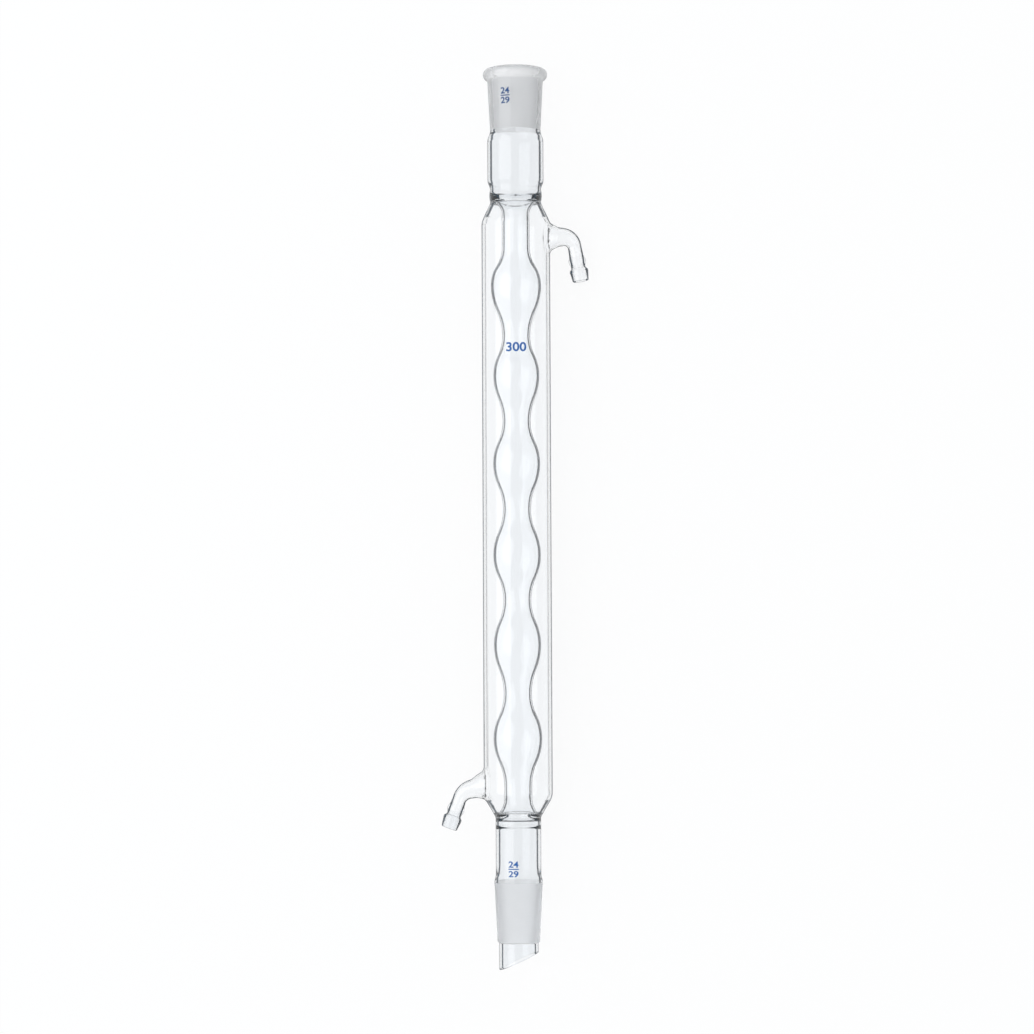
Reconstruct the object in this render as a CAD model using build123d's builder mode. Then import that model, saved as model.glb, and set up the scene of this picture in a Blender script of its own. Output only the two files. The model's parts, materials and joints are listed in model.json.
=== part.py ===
from build123d import *

import os
from math import asin, atan, cos, radians, sin, sqrt, tan

# Allihn condenser, blown from clear borosilicate glass in one piece. A bulbed vapour tube runs
# down the middle of a straight water jacket and is melted into it by a ring seal at each end. A
# ground socket opens at the top, a ground cone and a slanted drip tip close the bottom, and two
# bent hose arms lead the cooling water in and out. It lies on a bench, on its jacket and on the
# nozzle of its upper arm. Sizes are millimetres, and heights run along the condenser's axis, up
# from the point of its tip.

# Ground joints, one in ten in diameter
joint_size = 24.0
joint_length = 29.0
joint_taper = 0.1

# Drip tip and cone
tip_length = 14.3
tip_wall = 1.75
tip_slant = 24.4
tip_rounding = 0.5
cone_step = 0.8
cone_wall = 1.5
cone_shoulder = 4.2
cone_throat = 9.0

# Plain tube between the cone and the jacket
shank_length = 33.7
shank_inset = 0.75
shank_wall = 2.05

# Water jacket
jacket_overhang = 5.0
jacket_wall = 1.6
lower_shoulder = 10.1
lower_shoulder_drop = 1.8
upper_shoulder = 9.2
shoulder_rounding = 8.0
lower_foot_rounding = 2.5
upper_foot_run = 0.667

# Vapour tube, with its bulbs counted from the bottom
neck_inset = 5.1
neck_wall = 1.2
bulb_wall = 0.95
bulb_ods = (24.0, 23.3, 23.5, 23.3, 22.8, 25.0)
bulb_lengths = (45.1, 46.6, 45.0, 43.6, 42.5, 44.1)
bulb_crests = (0.51, 0.52, 0.49, 0.52, 0.54, 0.57)
lower_straight = 14.0
upper_straight = 19.3

# Ring seals, where the vapour tube flares out and melts into the jacket
lower_flare_start = 5.5
lower_flare_rounding = 8.0
lower_seal_depth = 0.8
upper_flare_start = 0.9
upper_flare_rounding = 5.0
upper_seal_height = 3.9
seal_rounding = 1.2
throat_swell = 0.8
throat_length = 2.0
throat_rounding = 2.0
collar_wall = 1.5
collar_rounding = 4.0
collar_overhang = 0.7
collar_length = 6.0
collar_rise = 3.5
collar_gap = 0.8
bead_height = 0.4

# Plain tube between the jacket and the socket
head_length = 19.0
head_overhang = 2.0
head_wall = 2.0
head_step = 5.0
socket_step = 5.8

# Ground socket and its rolled rim
socket_wall = 2.05
rim_overhang = 2.0
rim_height = 5.8
rim_crease = 0.8
mouth_depth = 1.8

# Hose arms
arm_wall = 1.0
arm_root_od = 14.6
arm_throat_od = 9.2
arm_od = 6.8
arm_fillet = 3.5
upper_arm_drop = 14.1
upper_arm_standoff = 11.4
upper_arm_slope = 0.0
upper_arm_bend = 6.2
upper_nozzle_lean = 10.0
upper_nozzle_length = 22.5
lower_arm_rise = 10.9
lower_arm_standoff = 10.7
lower_arm_slope = 15.0
lower_arm_bend = 8.0
lower_nozzle_lean = 20.0
lower_nozzle_length = 19.1

# Barbed nozzle at the end of each arm, its rings placed from its open end
bead_od = 8.5
bead_from_end = 10.0
bead_spread = 3.0
waist_od = 7.1
waist_from_end = 7.2
barb_od = 9.3
barb_from_end = 5.0
nozzle_end_od = 7.9
nozzle_wall = 0.95
nozzle_rounding = 0.35

# Heights that follow from the lengths
cone_bottom = tip_length
cone_top = cone_bottom + joint_length
lower_seal = cone_top + shank_length
bulbs_bottom = lower_seal + lower_straight
bulbs_top = bulbs_bottom + sum(bulb_lengths)
upper_seal = bulbs_top + upper_straight
collar_bottom = upper_seal + collar_rise
collar_top = collar_bottom + collar_length
head_bottom = collar_top + head_step
head_top = head_bottom + head_length
socket_bottom = head_top + socket_step
socket_top = socket_bottom + joint_length
overall_length = socket_top + mouth_depth

# Radii that follow from the diameters and walls. Every tube stands out or in from the joint's
# large end, so the joint's size sets them all.
joint_large = joint_size / 2
joint_small = (joint_size - joint_taper * joint_length) / 2
tip_radius = joint_small - cone_step
shank_radius = joint_large - shank_inset
jacket_radius = joint_large + jacket_overhang
water_radius = jacket_radius - jacket_wall
neck_radius = joint_large - neck_inset
neck_bore = neck_radius - neck_wall
head_radius = joint_large + head_overhang
collar_radius = joint_large + collar_overhang
root_radius = arm_root_od / 2
throat_radius = arm_throat_od / 2
barb_radius = barb_od / 2

# How far each arm reaches from the axis before it turns down
upper_arm_reach = jacket_radius + upper_arm_standoff
lower_arm_reach = jacket_radius + lower_arm_standoff

# The jacket and the upper nozzle's barb both touch the bench. The roll about the condenser's axis
# that brings them there is the smaller root of a quadratic in its sine.
barb_length = upper_nozzle_length - barb_from_end
barb_reach = upper_arm_reach + barb_length * sin(radians(upper_nozzle_lean))
ring_tilt = barb_radius * sin(radians(upper_nozzle_lean))
span = barb_reach**2 + ring_tilt**2
weight = jacket_radius * barb_reach
roll = asin((weight - sqrt(weight**2 - span * (jacket_radius**2 - barb_radius**2))) / span)

# The plane through the axis and both arms: X is lateral, towards the upper arm, and Y is height.
# The round profiles are drawn on the underside plane, square to it, so no seam meets an arm.
face = Plane(
    origin=(0, -overall_length / 2, jacket_radius),
    x_dir=(cos(roll), 0, -sin(roll)),
    z_dir=(sin(roll), 0, cos(roll)),
)
underside = Plane(origin=face.origin, x_dir=-face.z_dir, z_dir=face.x_dir)
axis = Axis(face.origin, face.y_dir)


def eased(start, end, share=0.5):
    """Draws two arcs from one (radius, height) point to another, both running along the axis at
    the ends. They meet on the straight line between the ends, this share of the way along it."""
    meeting = (
        start[0] + share * (end[0] - start[0]),
        start[1] + share * (end[1] - start[1]),
    )
    upward = 1 if end[1] > start[1] else -1
    TangentArc(start, meeting, tangent=(0, upward))
    TangentArc(end, meeting, tangent=(0, -upward))


def bulb_line(neck, crest_radii):
    """Draws the vapour tube's wavy line, which runs along the axis at every neck and crest."""
    low = bulbs_bottom
    for length, share, crest in zip(bulb_lengths, bulb_crests, crest_radii):
        middle = low + share * length
        eased((neck, low), (crest, middle))
        eased((crest, middle), (neck, low + length))
        low += length


# Where an arm's root starts, just inside the water space
root_start = sqrt(water_radius**2 - root_radius**2) - jacket_wall / 2


class HoseArm:
    """An arm's centre line on the face plane: a root leg, a round bend and a nozzle leg."""

    def __init__(self, side, corner_height, reach, slope, bend, lean, nozzle_length):
        outward = Vector(side * cos(radians(slope)), -sin(radians(slope)))
        downward = Vector(side * sin(radians(lean)), -cos(radians(lean)))
        corner = Vector(side * reach, corner_height)
        cut = bend * tan(radians(90 - slope - lean) / 2)
        self.root_length = (reach - root_start) / cos(radians(slope)) - cut
        self.nozzle_length = nozzle_length - cut
        self.root = leg_plane(corner - outward * (self.root_length + cut), outward)
        self.nozzle = leg_plane(corner + downward * cut, downward)


def leg_plane(start, heading):
    """A plane whose Y runs along a leg of an arm and whose X is the leg's radius."""
    ahead = face.x_dir * heading.X + face.y_dir * heading.Y
    origin = face.from_local_coords((start.X, start.Y))
    return Plane(origin=origin, x_dir=ahead.cross(face.z_dir), z_dir=face.z_dir)


def add_root(part, arm, radius, throat_radius, blend):
    """Adds an arm's tapered root to the part in hand and blends it into the jacket's wall."""
    with BuildSketch(arm.root) as half:
        with BuildLine():
            Polyline((0, arm.root_length), (0, 0), (radius, 0))
            eased((radius, 0), (throat_radius, arm.root_length), 0.7)
            Line((throat_radius, arm.root_length), (0, arm.root_length))
        make_face()
    turned(half, arm.root)
    fillet(part.edges(Select.NEW), radius=blend)


def turned(half, plane):
    """Spins a half profile drawn on a leg's plane about that leg."""
    revolve(half.sketch, axis=Axis(plane.origin, plane.y_dir))


def add_bend(arm, start_radius, end_radius):
    """Adds an arm's round, narrowing bend to the part in hand."""
    start = arm.root.from_local_coords((0, arm.root_length))
    with BuildLine() as route:
        TangentArc(start, arm.nozzle.origin, tangent=arm.root.y_dir)
    with BuildSketch(Plane(origin=start, x_dir=arm.root.x_dir, z_dir=arm.root.y_dir)) as ring:
        Circle(start_radius)
    with BuildSketch(
        Plane(origin=arm.nozzle.origin, x_dir=arm.nozzle.x_dir, z_dir=arm.nozzle.y_dir)
    ) as end_ring:
        Circle(end_radius)
    sweep([ring.sketch, end_ring.sketch], path=route.line, multisection=True)


upper_arm = HoseArm(
    1,
    upper_seal - upper_arm_drop,
    upper_arm_reach,
    upper_arm_slope,
    upper_arm_bend,
    upper_nozzle_lean,
    upper_nozzle_length,
)
lower_arm = HoseArm(
    -1,
    lower_seal + lower_arm_rise,
    lower_arm_reach,
    lower_arm_slope,
    lower_arm_bend,
    lower_nozzle_lean,
    lower_nozzle_length,
)
arms = (upper_arm, lower_arm)

# Outer form: every outside surface, as one filled body
socket_small = joint_small + socket_wall
socket_large = joint_large + socket_wall
lip_centre = socket_large + rim_overhang - rim_height / 2
lip_height = overall_length - rim_height / 2
shoulder_foot = lower_seal - lower_shoulder_drop
shoulder_top = shoulder_foot + lower_shoulder
collar_foot = collar_bottom - collar_gap
shoulder_start = collar_foot - upper_shoulder
lower_slope = atan((jacket_radius - shank_radius) / lower_shoulder)
upper_slope = atan((jacket_radius - collar_radius) / upper_shoulder)

with BuildPart() as envelope:
    with BuildSketch(underside):
        with BuildLine():
            Polyline(
                (0, 0),
                (tip_radius, 0),
                (tip_radius, cone_bottom - cone_step),
                (joint_small, cone_bottom),
                (joint_large, cone_top),
            )
            eased((joint_large, cone_top), (shank_radius, cone_top + cone_shoulder), 0.35)
            FilletPolyline(
                (shank_radius, cone_top + cone_shoulder),
                (shank_radius, shoulder_foot),
                (jacket_radius, shoulder_top),
                (jacket_radius, shoulder_start),
                (collar_radius, collar_foot),
                (collar_radius, collar_bottom),
                radius=(
                    lower_foot_rounding,
                    shoulder_rounding,
                    shoulder_rounding,
                    upper_foot_run / tan(upper_slope / 2),
                ),
            )
            ThreePointArc(
                (collar_radius, collar_bottom),
                (collar_radius + bead_height, (collar_bottom + collar_top) / 2),
                (collar_radius, collar_top),
            )
            eased((collar_radius, collar_top), (head_radius, head_bottom))
            Line((head_radius, head_bottom), (head_radius, head_top))
            eased((head_radius, head_top), (socket_small, socket_bottom))
            Polyline(
                (socket_small, socket_bottom),
                (socket_large, socket_top),
                (0, socket_top),
                (0, 0),
            )
        make_face()
        with Locations((lip_centre, lip_height)):
            Circle(rim_height / 2)
    revolve(axis=axis)
    under_rim = face.from_local_coords((socket_large, lip_height - rim_height / 2))
    fillet(envelope.edges().sort_by_distance(under_rim)[0], radius=rim_crease)
    for arm in arms:
        add_root(envelope, arm, root_radius, throat_radius, arm_fillet)
        add_bend(arm, throat_radius, arm_od / 2)
        end = arm.nozzle_length
        with BuildSketch(arm.nozzle) as nozzle_half:
            with BuildLine():
                bead_start = (waist_od / 2, end - bead_from_end - bead_spread)
                bead = (bead_od / 2, end - bead_from_end)
                waist = (waist_od / 2, end - waist_from_end)
                barb = (barb_radius, end - barb_from_end)
                Polyline((0, end), (0, 0), (arm_od / 2, 0), bead_start)
                eased(bead_start, bead)
                eased(bead, waist)
                eased(waist, barb)
                Polyline(barb, (nozzle_end_od / 2, end), (0, end))
            make_face()
        turned(nozzle_half, arm.nozzle)

# Water space: the gap between jacket and vapour tube, and the bores of both arms that open into it
with BuildPart() as water:
    seal_floor = lower_seal - lower_seal_depth
    seal_roof = upper_seal + upper_seal_height
    water_foot = shoulder_top + jacket_wall * tan(lower_slope / 2)
    water_head = shoulder_start - jacket_wall * tan(upper_slope / 2)
    floor_radius = water_radius - (water_foot - seal_floor) * tan(lower_slope)
    roof_radius = water_radius - (seal_roof - water_head) * tan(upper_slope)
    with BuildSketch(underside):
        with BuildLine():
            bulb_line(neck_radius, [od / 2 for od in bulb_ods])
            FilletPolyline(
                (neck_radius, bulbs_top),
                (neck_radius, upper_seal - upper_flare_start),
                (roof_radius, seal_roof),
                (water_radius, water_head),
                (water_radius, water_foot),
                (floor_radius, seal_floor),
                (neck_radius, lower_seal + lower_flare_start),
                (neck_radius, bulbs_bottom),
                radius=(
                    upper_flare_rounding,
                    seal_rounding,
                    shoulder_rounding - jacket_wall,
                    shoulder_rounding - jacket_wall,
                    seal_rounding,
                    lower_flare_rounding,
                ),
            )
        make_face()
    revolve(axis=axis)
    for arm in arms:
        bore = arm_od / 2 - arm_wall
        end_bore = nozzle_end_od / 2 - nozzle_wall
        throat_bore = throat_radius - arm_wall
        add_root(water, arm, root_radius - arm_wall, throat_bore, arm_fillet + jacket_wall)
        add_bend(arm, throat_bore, bore)
        end = arm.nozzle_length
        with BuildSketch(arm.nozzle) as nozzle_half:
            with BuildLine():
                Polyline(
                    (0, end + 1),
                    (0, 0),
                    (bore, 0),
                    (bore, end - waist_from_end),
                    (end_bore, end - barb_from_end),
                    (end_bore, end + 1),
                    (0, end + 1),
                )
            make_face()
        turned(nozzle_half, arm.nozzle)

# Vapour path: the bore from the socket's mouth through the bulbs to the drip tip
with BuildPart() as vapour:
    shank_bore = shank_radius - shank_wall
    swell_bore = shank_bore + throat_swell
    collar_bore = collar_radius - collar_wall
    head_bore = head_radius - head_wall
    crest_bores = [od / 2 - bulb_wall for od in bulb_ods]
    lower_flare = atan((floor_radius - neck_radius) / (lower_flare_start + lower_seal_depth))
    upper_flare = atan((roof_radius - neck_radius) / (upper_flare_start + upper_seal_height))
    lower_flare_end = lower_seal + lower_flare_start - neck_wall * tan(lower_flare / 2)
    upper_flare_end = upper_seal - upper_flare_start + neck_wall * tan(upper_flare / 2)
    swell_height = lower_flare_end - (swell_bore - neck_bore) / tan(lower_flare)
    swell_start = swell_height - 2 * throat_length
    collar_height = upper_flare_end + (collar_bore - neck_bore) / tan(upper_flare)
    with BuildSketch(underside):
        with BuildLine():
            Polyline(
                (0, overall_length),
                (0, -1),
                (tip_radius - tip_wall, -1),
                (tip_radius - tip_wall, cone_bottom),
                (joint_large - cone_wall, cone_top),
            )
            eased((joint_large - cone_wall, cone_top), (shank_bore, cone_top + cone_throat), 0.35)
            Line((shank_bore, cone_top + cone_throat), (shank_bore, swell_start))
            eased(
                (shank_bore, swell_start),
                (swell_bore, swell_height - throat_length),
            )
            FilletPolyline(
                (swell_bore, swell_height - throat_length),
                (swell_bore, swell_height),
                (neck_bore, lower_flare_end),
                (neck_bore, bulbs_bottom),
                radius=(throat_rounding, lower_flare_rounding + neck_wall),
            )
            bulb_line(neck_bore, crest_bores)
            FilletPolyline(
                (neck_bore, bulbs_top),
                (neck_bore, upper_flare_end),
                (collar_bore, collar_height),
                (collar_bore, collar_top),
                radius=(upper_flare_rounding + neck_wall, collar_rounding),
            )
            eased((collar_bore, collar_top), (head_bore, head_bottom))
            Line((head_bore, head_bottom), (head_bore, head_top))
            eased((head_bore, head_top), (joint_small, socket_bottom))
            Polyline(
                (joint_small, socket_bottom),
                (joint_large, socket_top),
                (joint_large + mouth_depth / 2, overall_length),
                (0, overall_length),
            )
        make_face()
    revolve(axis=axis)

# The blown glass: the outer form less its hollows, the tip cut at a slant and the lips melted round
with BuildPart() as condenser:
    add(envelope.part)
    add(water.part, mode=Mode.SUBTRACT)
    add(vapour.part, mode=Mode.SUBTRACT)
    slant = radians(tip_slant)
    tip_cut = Plane(
        origin=face.from_local_coords((-tip_radius, 0)),
        x_dir=face.z_dir,
        z_dir=face.y_dir * cos(slant) - face.x_dir * sin(slant),
    )
    split(bisect_by=tip_cut, keep=Keep.TOP)
    tip_face = condenser.faces().sort_by(Axis(tip_cut.origin, tip_cut.z_dir))[0]
    fillet(tip_face.edges(), radius=tip_rounding)
    for arm in arms:
        open_end = arm.nozzle.from_local_coords((0, arm.nozzle_length))
        end_face = condenser.faces().filter_by(GeomType.PLANE).sort_by_distance(open_end)[0]
        chamfer(end_face.edges(), length=nozzle_rounding)

os.makedirs("parts", exist_ok=True)
condenser.part.label = "allihn_condenser"
export_step(condenser.part, "parts/allihn_condenser.step")
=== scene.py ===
import json

import bmesh
import bpy
import numpy as np
from mathutils import Matrix, Vector


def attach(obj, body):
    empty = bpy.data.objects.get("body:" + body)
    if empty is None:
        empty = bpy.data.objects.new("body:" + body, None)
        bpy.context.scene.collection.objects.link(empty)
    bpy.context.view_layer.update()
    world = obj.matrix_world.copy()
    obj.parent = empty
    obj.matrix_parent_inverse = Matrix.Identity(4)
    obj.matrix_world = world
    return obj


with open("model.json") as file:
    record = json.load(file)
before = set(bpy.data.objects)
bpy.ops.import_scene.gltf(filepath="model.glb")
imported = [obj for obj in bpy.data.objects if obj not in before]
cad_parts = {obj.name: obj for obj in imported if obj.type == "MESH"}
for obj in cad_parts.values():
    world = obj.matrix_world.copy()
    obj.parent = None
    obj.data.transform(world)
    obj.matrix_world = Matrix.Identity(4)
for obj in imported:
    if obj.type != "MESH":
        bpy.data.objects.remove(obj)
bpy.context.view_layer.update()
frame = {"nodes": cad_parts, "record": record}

# Condenser: one piece of clear borosilicate glass, blown on a lathe from drawn tubing and melted
# together at the ring seals and hose arms. The inside of the socket and the outside of the cone
# are ground to a frost. Heights count up from the point of the drip tip, radii from the axis.
half_length = 0.22365
axis_height = 0.017
jacket_radii = (0.0146, 0.0176)
jacket_heights = (0.076, 0.381)
vapour_radius = 0.0130
vapour_heights = (0.080, 0.381)
lower_seal = (0.0762, 0.080)
upper_seal = (0.376, 0.381)
head_height = 0.400
rim_height = 0.4410
joint_taper = 0.05
socket_ground = (0.4163, 0.4455)
cone_ground = (0.0137, 0.0433)
socket_skin = 0.0130
cone_skin = 0.00972
thin_tint = (0.968, 0.976, 0.984, 1)
thick_tint = (0.910, 0.925, 0.940, 1)
socket_tint = (0.85, 0.85, 0.85, 1)
cone_tint = (0.985, 0.985, 0.985, 1)
shadow_tint = (0.93, 0.94, 0.95, 1)
# Painted shade: the near-black colour of the lines painted along the glass's bore and silhouette
painted_shade_colour = (0.012, 0.036, 0.060, 1)
glass_ior = 1.47
grain_scale = 2200.0
blotch_scale = 160.0
ring_scale = (40.0, 1800.0, 40.0)
wave_scale = (110.0, 22.0, 110.0)
frost_dark = (0.68, 0.69, 0.70, 1)
frost_light = (0.96, 0.96, 0.97, 1)
frost_share = 0.35


class Field:
    """A socket in a node tree. Arithmetic on it adds Math nodes, and node() adds any other node."""

    def __init__(self, tree, socket=None):
        self.tree = tree
        self.socket = socket

    def node(self, kind, settings=(), inputs=(), output=0):
        """Adds a node of this type, with its settings and then its sockets' values or links."""
        added = self.tree.nodes.new(kind)
        for name, value in dict(settings).items():
            setattr(added, name, value)
        for key, value in dict(inputs).items():
            if isinstance(value, Field):
                self.tree.links.new(value.socket, added.inputs[key])
            else:
                added.inputs[key].default_value = value
        return Field(self.tree, added.outputs[output] if added.outputs else None)

    def other(self, name):
        """Another output of the same node."""
        return Field(self.tree, self.socket.node.outputs[name])

    def maths(self, operation, *values):
        """A Math node with this operation on these values or fields."""
        return self.node("ShaderNodeMath", {"operation": operation}, dict(enumerate(values)))

    def __add__(self, other):
        return self.maths("ADD", self, other)

    def __sub__(self, other):
        return self.maths("SUBTRACT", self, other)

    def __rsub__(self, other):
        return self.maths("SUBTRACT", other, self)

    def __mul__(self, other):
        return self.maths("MULTIPLY", self, other)

    def __pow__(self, other):
        return self.maths("POWER", self, other)

    def __gt__(self, other):
        return self.maths("GREATER_THAN", self, other)

    def __lt__(self, other):
        return self.maths("LESS_THAN", self, other)

    __radd__ = __add__
    __rmul__ = __mul__

    def ramp(self, low, high, start=0.0, end=1.0):
        """Goes smoothly from start to end as this goes from low to high."""
        return self.node(
            "ShaderNodeMapRange",
            {"interpolation_type": "SMOOTHSTEP"},
            {"Value": self, "From Min": low, "From Max": high, "To Min": start, "To Max": end},
        )

    def colour(self, at_zero, at_one):
        """Mixes two colours by this share."""
        return self.node(
            "ShaderNodeMix",
            {"data_type": "RGBA"},
            {"Factor": self, 6: at_zero, 7: at_one},
            output=2,
        )


def new_material(name):
    """An empty node material and a field on its tree."""
    material = bpy.data.materials.new(name)
    material.use_nodes = True
    material.node_tree.nodes.clear()
    return material, Field(material.node_tree)


glass, tree = new_material("clear_glass")
place = tree.node("ShaderNodeTexCoord", output=3)
x = tree.node("ShaderNodeSeparateXYZ", inputs={0: place})
y = x.other("Y")
z = x.other("Z")
radius = (x * x + (z - axis_height) ** 2.0) ** 0.5
height = y + half_length

# Ground zones: a band of heights on one side of a conical line between the wall's two faces
socket_line = (height - socket_ground[1]) * joint_taper + socket_skin
in_socket = (height > socket_ground[0]) * (radius < socket_line)
cone_line = (height - cone_ground[0]) * joint_taper + cone_skin
on_cone = (height > cone_ground[0]) * (height < cone_ground[1]) * (radius > cone_line)
ground = in_socket + on_cone
grain = tree.node("ShaderNodeTexNoise", inputs={"Vector": place, "Scale": grain_scale, "Detail": 3.0})
blotch = tree.node(
    "ShaderNodeTexNoise", inputs={"Vector": place, "Scale": blotch_scale, "Detail": 2.0}
)
stretched = tree.node("ShaderNodeMapping", inputs={"Vector": place, "Scale": ring_scale})
rings = tree.node("ShaderNodeTexNoise", inputs={"Vector": stretched, "Scale": 1.0, "Detail": 2.0})
grind = grain * 0.5 + blotch * 0.25 + rings * 0.25

# Painted shade along the edges: a real wall shows a line of shade where the bore turns light back,
# and a thin one along its silhouette. Here both are painted shade, a near-black diffuse mixed in by
# the angle at which a ray meets the glass: the first on faces met from inside the wall, the second
# on faces met from outside.
angle = tree.node("ShaderNodeLayerWeight", inputs={"Blend": 0.5}, output=1)
inside = tree.node("ShaderNodeNewGeometry").other("Backfacing")
by_jacket = (height > jacket_heights[0]) * (height < jacket_heights[1])
on_jacket = (radius > jacket_radii[0]) * (radius < jacket_radii[1]) * by_jacket
by_vapour = (height > vapour_heights[0]) * (height < vapour_heights[1])
on_vapour = (radius < vapour_radius) * by_vapour
on_arm = (radius > jacket_radii[1]) * (height < head_height)
on_rim = height > rim_height
tube_painted_shade = angle.ramp(0.240, 0.268) * angle.ramp(0.276, 0.325, 1.0, 0.08)
vapour_painted_shade = angle.ramp(0.240, 0.264) * angle.ramp(0.286, 0.330, 1.0, 0.20)
arm_painted_shade = angle.ramp(0.30, 0.42)
plain_painted_shade = on_vapour * vapour_painted_shade + (1.0 - on_vapour) * tube_painted_shade
bore_painted_shade = on_arm * arm_painted_shade + (1.0 - on_arm) * plain_painted_shade
bore_shade_strength = (1.0 - on_jacket * 0.88) * (1.0 - on_rim * 0.6) * (1.0 - ground) * 0.96
silhouette_shade_strength = on_jacket * 0.50 + on_arm * 0.45 + 0.32
silhouette_painted_shade = (1.0 - inside) * angle.ramp(0.68, 0.90) * silhouette_shade_strength * (1.0 - on_cone)
edge_painted_shade = inside * bore_painted_shade * bore_shade_strength + silhouette_painted_shade

# Tint: the plain tubes are thick and greyer, and the glass between the ring seals is thin
between_seals = height.ramp(*lower_seal) * height.ramp(*upper_seal, 1.0, 0.0)
base = between_seals.colour(thick_tint, thin_tint)
base = in_socket.colour(base, socket_tint)
base = on_cone.colour(base, cone_tint)

# Drawn tubing keeps a faint, long waviness
waves = tree.node("ShaderNodeMapping", inputs={"Vector": place, "Scale": wave_scale})
drawn = tree.node("ShaderNodeTexNoise", inputs={"Vector": waves, "Scale": 1.0, "Detail": 1.0})
wavy = tree.node(
    "ShaderNodeBump", inputs={"Strength": 0.25, "Distance": 0.0002, "Height": drawn}
)
clear = tree.node(
    "ShaderNodeBsdfPrincipled",
    inputs={
        "Base Color": base,
        "Roughness": ground * (grind * 0.3 + 0.4),
        "IOR": glass_ior,
        "Normal": wavy,
        "Transmission Weight": 1.0,
    },
)
frost = tree.node(
    "ShaderNodeBsdfPrincipled",
    inputs={
        "Base Color": grind.colour(frost_dark, frost_light),
        "Roughness": 1.0,
        "Specular IOR Level": 0.0,
    },
)
frosted = tree.node("ShaderNodeMixShader", inputs={0: ground * frost_share, 1: clear, 2: frost})
# Painted shade: a near-black diffuse, mixed into the glass along the painted edge lines above
painted_shade_bsdf = tree.node("ShaderNodeBsdfDiffuse", inputs={"Color": painted_shade_colour})
with_painted_shade = tree.node("ShaderNodeMixShader", inputs={0: edge_painted_shade, 1: frosted, 2: painted_shade_bsdf})
shadow_ray = tree.node("ShaderNodeLightPath", output=1)
lets_light = tree.node("ShaderNodeBsdfTransparent", inputs={"Color": shadow_tint})
surface = tree.node("ShaderNodeMixShader", inputs={0: shadow_ray, 1: with_painted_shade, 2: lets_light})
tree.node("ShaderNodeOutputMaterial", inputs={"Surface": surface})

body = frame["nodes"]["allihn_condenser"]
body.data.materials[0] = glass

# Light passes many walls of glass before it comes out
cycles = bpy.context.scene.cycles
cycles.max_bounces = 32
cycles.transmission_bounces = 32
cycles.transparent_max_bounces = 32

# Printed sizes: blue ceramic ink fired on the outside of the glass. Each joint carries its size
# as a fraction, 24 over 29, and the jacket carries its length in millimetres.
ink_proud = 0.00003
ink_depth = 0.00004
ink_strip = 0.0004
ink_boldness = 0.022
ink_wear = 0.10
wear_scale = 1500.0
jacket_radius = 0.017
nozzle_way = Vector(
    next(m["axis"] for m in frame["record"]["mounts"] if m["name"] == "upper_hose_nozzle")
)
lateral = Vector((nozzle_way.x, 0, nozzle_way.z)).normalized()
along = Vector((0, 1, 0))
upwards = lateral.cross(along)


def flat_print(words, tall, wide, shift):
    """Words as flat triangles in metres, this tall and wide, centred on shift (across, up)."""
    curve = bpy.data.curves.new("words", "FONT")
    curve.body = words
    curve.resolution_u = 6
    curve.offset = ink_boldness
    carrier = bpy.data.objects.new("words", curve)
    bpy.context.scene.collection.objects.link(carrier)
    bpy.context.view_layer.update()
    mesh = bpy.data.meshes.new_from_object(carrier)
    bpy.data.objects.remove(carrier)
    points = np.empty(len(mesh.vertices) * 3, np.float32)
    mesh.vertices.foreach_get("co", points)
    points = points.reshape(-1, 3)[:, :2]
    low, high = points.min(0), points.max(0)
    points = (points - (low + high) / 2) / (high - low) * (wide, tall) + shift
    mesh.calc_loop_triangles()
    faces = np.empty(len(mesh.loop_triangles) * 3, np.int32)
    mesh.loop_triangles.foreach_get("vertices", faces)
    return points, faces.reshape(-1, 3)


def bar_print(wide, tall, shift):
    """A plain bar as two triangles, this wide and tall, centred on shift (across, up)."""
    corners = np.array([(-1, -1), (1, -1), (1, 1), (-1, 1)]) / 2
    return corners * (wide, tall) + shift, np.array([(0, 1, 2), (0, 2, 3)])


def wrap_print(name, parts, side, heights, radii, ink):
    """Joins flat prints, cuts them into narrow strips and bends them round the glass. A point
    (across, up) goes to the angle side + across / r about the axis, at r plus the ink's height,
    where r follows the given heights and radii."""
    flat = np.concatenate([points for points, faces in parts])
    starts = np.cumsum([0] + [len(points) for points, faces in parts[:-1]])
    corners = np.concatenate([faces + start for (points, faces), start in zip(parts, starts)])
    mesh = bpy.data.meshes.new(name)
    mesh.from_pydata(np.pad(flat, ((0, 0), (0, 1))).tolist(), [], corners.tolist())
    strips = bmesh.new()
    strips.from_mesh(mesh)
    for cut in np.arange(flat[:, 0].min(), flat[:, 0].max(), ink_strip):
        everything = strips.verts[:] + strips.edges[:] + strips.faces[:]
        bmesh.ops.bisect_plane(strips, geom=everything, plane_co=(cut, 0, 0), plane_no=(1, 0, 0))
    strips.to_mesh(mesh)
    strips.free()
    flat = np.empty(len(mesh.vertices) * 3, np.float32)
    mesh.vertices.foreach_get("co", flat)
    flat = flat.reshape(-1, 3)
    r = np.interp(flat[:, 1], heights, radii)
    turn = side + flat[:, 0] / r
    sideways = np.sin(turn)[:, None] * np.array(lateral)
    outwards = np.cos(turn)[:, None] * np.array(upwards)
    placed = (r + ink_proud)[:, None] * (sideways + outwards)
    placed[:, 1] += flat[:, 1] - half_length
    placed[:, 2] += axis_height
    mesh.vertices.foreach_set("co", placed.astype(np.float32).ravel())
    mesh.materials.append(ink)
    piece = bpy.data.objects.new(name, mesh)
    bpy.context.scene.collection.objects.link(piece)
    wall = piece.modifiers.new("ink", "SOLIDIFY")
    wall.thickness = ink_depth
    wall.offset = 1
    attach(piece, "root")


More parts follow.
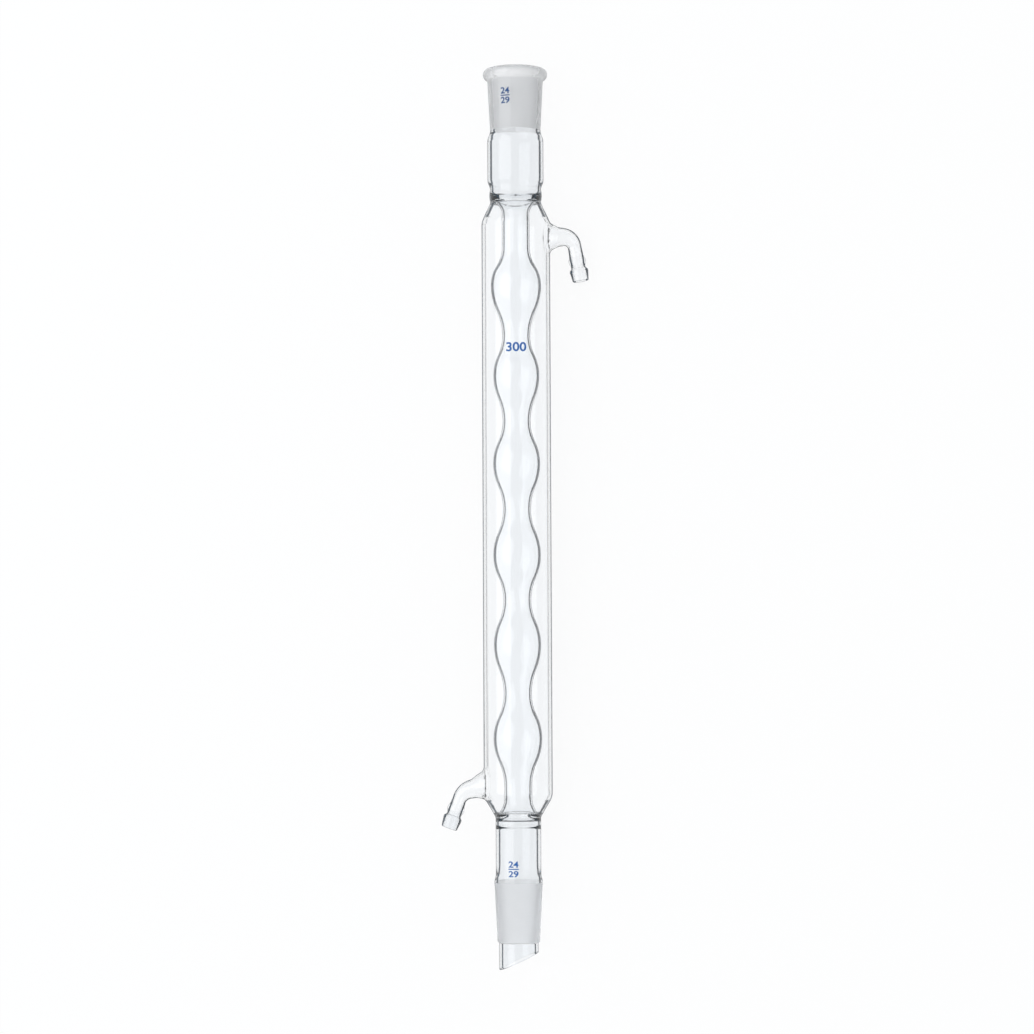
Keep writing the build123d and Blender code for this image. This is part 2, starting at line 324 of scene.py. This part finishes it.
def new_ink(name, colour):
    """Fired ink of this colour, a little thin in places."""
    material, tree = new_material(name)
    place = tree.node("ShaderNodeTexCoord", output=3)
    wear = tree.node(
        "ShaderNodeTexNoise", inputs={"Vector": place, "Scale": wear_scale, "Detail": 3.0}
    )
    worn = tuple(c + (1 - c) * ink_wear for c in colour)
    shade = wear.ramp(0.55, 0.75).colour((*colour, 1), (*worn, 1))
    ink = tree.node("ShaderNodeBsdfPrincipled", inputs={"Base Color": shade, "Roughness": 0.45})
    tree.node("ShaderNodeOutputMaterial", inputs={"Surface": ink})
    return material


navy = new_ink("navy_ink", (0.001, 0.06, 0.22))
blue = new_ink("blue_ink", (0.001, 0.10, 0.36))


def fraction(middle, tall, wide):
    """24 over a bar over 29, with figures this tall and wide, centred on this height."""
    bar = 0.0005
    gap = 0.0008
    lift = tall / 2 + gap
    return [
        flat_print("24", tall, wide, (0, middle + lift)),
        bar_print(wide * 1.04, bar, (0, middle)),
        flat_print("29", tall, wide, (0, middle - lift)),
    ]


wrap_print(
    "socket_size_print",
    parts=fraction(middle=0.4322, tall=0.0032, wide=0.0046),
    side=np.arcsin(-0.00505 / 0.0135),
    heights=(0.4165, 0.4455),
    radii=(0.0126, 0.01405),
    ink=navy,
)
wrap_print(
    "cone_size_print",
    parts=fraction(middle=0.0503, tall=0.0031, wide=0.0050),
    side=np.arcsin(-0.0025 / 0.01125),
    heights=(0.0465, 0.0470, 0.0475),
    radii=(0.01131, 0.01127, 0.01125),
    ink=blue,
)
wrap_print(
    "jacket_length_print",
    parts=[flat_print("300", tall=0.0046, wide=0.0100, shift=(0, 0.3068))],
    side=0.0,
    heights=jacket_heights,
    radii=(jacket_radius, jacket_radius),
    ink=blue,
)

# Floor: a plain white studio floor, a wide disc just under the bench level. It shows white to the
# camera and through the glass, and keeps a share of its own shading, so that the condenser's
# soft shadow lies on it.
floor_radius = 3.0
floor_drop = 0.0002
floor_corners = 64
floor_paint = (0.9, 0.9, 0.9, 1)
floor_glow = 0.88


def viewed_ray(tree):
    """One where a ray is seen by the camera, straight or by way of gloss or glass."""
    seen = tree.node("ShaderNodeLightPath", output=0)
    bounced = tree.maths("MAXIMUM", seen.other("Is Glossy Ray"), seen.other("Is Transmission Ray"))
    return tree.maths("MAXIMUM", seen, bounced)


floor_mesh = bpy.data.meshes.new("floor")
turn = np.linspace(0, 2 * np.pi, floor_corners, endpoint=False)
rim = np.stack([floor_radius * np.cos(turn), floor_radius * np.sin(turn), 0 * turn - floor_drop], 1)
floor_mesh.from_pydata(rim.tolist(), [], [list(range(floor_corners))])
floor = bpy.data.objects.new("floor", floor_mesh)
bpy.context.scene.collection.objects.link(floor)
white_floor, tree = new_material("white_floor")
glowing = viewed_ray(tree) * floor_glow
matt = tree.node("ShaderNodeBsdfDiffuse", inputs={"Color": floor_paint})
white = tree.node("ShaderNodeEmission", inputs={"Color": (1, 1, 1, 1), "Strength": 1.0})
mixed = tree.node("ShaderNodeMixShader", inputs={0: glowing, 1: matt, 2: white})
tree.node("ShaderNodeOutputMaterial", inputs={"Surface": mixed})
floor_mesh.materials.append(white_floor)

# Studio: an even pale room lights the glass, with one large soft lamp high on the left. Rays that
# the camera sees, straight or by way of gloss or glass, find plain white in place of the room.
room_colour = (0.92, 0.96, 1.0, 1)
room_strength = 0.85
lamp_size = 2.4
lamp_power = 22
lamp_place = Vector((-1.0, 0.4, 2.2))
world = bpy.data.worlds.new("studio")
bpy.context.scene.world = world
world.use_nodes = True
world.node_tree.nodes.clear()
tree = Field(world.node_tree)
room = tree.node("ShaderNodeBackground", inputs={"Color": room_colour, "Strength": room_strength})
backdrop = tree.node("ShaderNodeBackground", inputs={"Color": (1, 1, 1, 1), "Strength": 1.0})
mixed = tree.node("ShaderNodeMixShader", inputs={0: viewed_ray(tree), 1: room, 2: backdrop})
tree.node("ShaderNodeOutputWorld", inputs={"Surface": mixed})
lamp_data = bpy.data.lights.new("softbox", "AREA")
lamp_data.shape = "SQUARE"
lamp_data.size = lamp_size
lamp_data.energy = lamp_power
lamp = bpy.data.objects.new("softbox", lamp_data)
bpy.context.scene.collection.objects.link(lamp)
centre = Vector((0, 0, axis_height))
aimed = (lamp_place - centre).to_track_quat("Z", "Y").to_matrix().to_4x4()
lamp.matrix_world = Matrix.Translation(lamp_place) @ aimed

# Camera: a long lens over the condenser, square to the plane of its arms, a little towards the
# cone, and turned so that the condenser leans slightly to the left
camera_distance = 1.56
camera_slide = 0.068
camera_lens = 109.6
camera_roll = np.radians(0.26)
camera_data = bpy.data.cameras.new("camera")
camera_data.lens = camera_lens
camera_data.clip_end = 20
camera = bpy.data.objects.new("camera", camera_data)
bpy.context.scene.collection.objects.link(camera)
camera_place = centre + upwards * camera_distance - along * camera_slide
back = (camera_place - centre).normalized()
turned = Matrix((lateral, back.cross(lateral), back)).transposed()
turned = turned @ Matrix.Rotation(-camera_roll, 3, "Z")
camera.matrix_world = Matrix.Translation(camera_place) @ turned.to_4x4()
bpy.context.scene.camera = camera
bpy.context.scene.view_settings.view_transform = "Standard"
